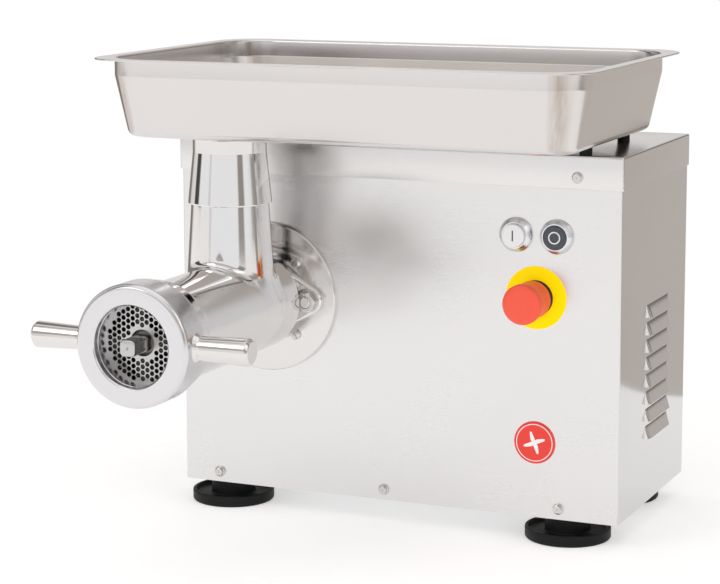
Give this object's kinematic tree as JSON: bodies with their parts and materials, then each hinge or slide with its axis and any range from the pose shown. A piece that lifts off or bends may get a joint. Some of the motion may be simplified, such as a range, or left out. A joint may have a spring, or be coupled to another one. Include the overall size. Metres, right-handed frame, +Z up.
{
  "type": "electric meat grinder",
  "caption": "Tabletop electric meat grinder: steel housing, cast grinding head with ring nut, lift-off feed tray, push buttons and an emergency stop.",
  "frame": {"origin": "middle of the whole object's box, on the surface that the feet stand on", "axes": "+X to the right as seen from the front, +Y to the back, +Z up; the head points along -Y"},
  "size_m": [0.498, 0.531, 0.4605],
  "materials": {
    "brushed_housing": "brushed stainless sheet",
    "polished_head": "polished stainless casting",
    "satin_tray": "satin stainless sheet",
    "bright_fasteners": "bright stainless fasteners",
    "ground_steel": "ground tool steel",
    "shaft_steel": "turned steel",
    "gear_steel": "hobbed gear steel",
    "gearbox_iron": "machined cast iron",
    "motor_paint": "painted aluminium motor casing",
    "core_laminations": "stacked laminations",
    "copper_windings": "enamelled copper wire",
    "black_rubber": "black rubber",
    "seal_rubber": "brown seal rubber",
    "washer_fibre": "hard fibre",
    "black_plastic": "black moulded plastic",
    "silver_bezel": "satin chrome bezel",
    "white_button": "white moulded plastic",
    "dark_button": "dark moulded plastic",
    "yellow_disc": "yellow moulded plastic",
    "red_button": "red moulded plastic",
    "badge_red": "red domed resin",
    "plunger_steel": "turned steel",
    "relay_plastic": "pale moulded plastic",
    "rail_steel": "zinc-plated steel"
  },
  "bodies": {
    "housing": {"housing_shell": "brushed_housing", "rear_cover": "brushed_housing", "lid": "brushed_housing", "base_plate": "brushed_housing", "head_casting": "polished_head", "mounting_disc": "polished_head", "cover_screws": "bright_fasteners", "foot_bolts": "bright_fasteners", "disc_screws": "bright_fasteners", "head_studs": "bright_fasteners", "head_nuts": "bright_fasteners", "panel_nuts": "bright_fasteners", "gearbox_screws": "bright_fasteners", "plate_key": "bright_fasteners", "output_bearings": "shaft_steel", "intermediate_bearings": "shaft_steel", "motor_bearings": "shaft_steel", "gearbox_case": "gearbox_iron", "gearbox_cover": "gearbox_iron", "motor_frame": "motor_paint", "motor_end_shield": "motor_paint", "fan_cover": "motor_paint", "terminal_box": "motor_paint", "stator_core": "core_laminations", "stator_windings": "copper_windings", "rubber_feet": "black_rubber", "tray_rests": "black_rubber", "output_seal": "seal_rubber", "thrust_washer": "washer_fibre", "cable_gland": "black_plastic", "estop_base": "black_plastic", "contact_blocks": "black_plastic", "start_bezel": "silver_bezel", "stop_bezel": "silver_bezel", "estop_disc": "yellow_disc", "badge": "badge_red", "contactor": "relay_plastic", "din_rail": "rail_steel"},
    "tray": {"tray_pan": "satin_tray", "tray_spout": "polished_head"},
    "plate": {"hole_plate": "ground_steel"},
    "ring": {"ring_nut": "polished_head", "ring_handles": "polished_head"},
    "drive": {"output_shaft": "shaft_steel", "output_gear": "gear_steel", "worm": "ground_steel", "worm_stud": "ground_steel", "knife": "ground_steel"},
    "intermediate": {"intermediate_shaft": "shaft_steel", "intermediate_pinion": "gear_steel", "intermediate_gear": "gear_steel"},
    "rotor": {"rotor_shaft": "shaft_steel", "motor_pinion": "gear_steel", "rotor_core": "core_laminations", "cooling_fan": "black_plastic"},
    "start": {"start_button": "white_button"},
    "stop": {"stop_button": "dark_button"},
    "estop_stem": {"estop_plunger": "plunger_steel"},
    "estop_head": {"estop_mushroom": "red_button"}
  },
  "joints": [
    {"name": "tray_lift", "type": "slide", "parent": "housing", "child": "tray", "axis": [0, 0, 1], "range_m": [0, 0.12]},
    {"name": "plate_slide", "type": "slide", "parent": "housing", "child": "plate", "axis": [0, -1, 0], "range_m": [0, 0.016]},
    {"name": "ring_turn", "type": "hinge", "parent": "plate", "child": "ring", "pos_m": [-0.1252, -0.2405, 0.219], "axis": [0, -1, 0], "range_deg": [0, 1440]},
    {"name": "worm_turn", "type": "hinge", "parent": "housing", "child": "drive", "pos_m": [-0.1252, 0.0195, 0.219], "axis": [0, -1, 0], "continuous": true},
    {"name": "intermediate_turn", "type": "hinge", "parent": "housing", "child": "intermediate", "pos_m": [-0.0372, 0.0195, 0.219], "axis": [0, -1, 0], "continuous": true},
    {"name": "rotor_turn", "type": "hinge", "parent": "housing", "child": "rotor", "pos_m": [0.03855, 0.0195, 0.219], "axis": [0, -1, 0], "continuous": true},
    {"name": "start_press", "type": "slide", "parent": "housing", "child": "start", "axis": [0, 1, 0], "range_m": [0, 0.0035], "stiffness_N_per_m": 400},
    {"name": "stop_press", "type": "slide", "parent": "housing", "child": "stop", "axis": [0, 1, 0], "range_m": [0, 0.0035], "stiffness_N_per_m": 400},
    {"name": "estop_press", "type": "slide", "parent": "housing", "child": "estop_stem", "axis": [0, 1, 0], "range_m": [0, 0.005]},
    {"name": "estop_twist", "type": "hinge", "parent": "estop_stem", "child": "estop_head", "pos_m": [0.1545, 0.0195, 0.2366], "axis": [0, 1, 0], "range_deg": [0, 40], "stiffness_Nm_per_rad": 0.05}
  ],
  "couplings": [
    {"joint": "plate_slide", "follows": "ring_turn", "m_per_rad": 0.00063662},
    {"joint": "intermediate_turn", "follows": "worm_turn", "ratio": -2.6667},
    {"joint": "rotor_turn", "follows": "worm_turn", "ratio": 10.8}
  ]
}
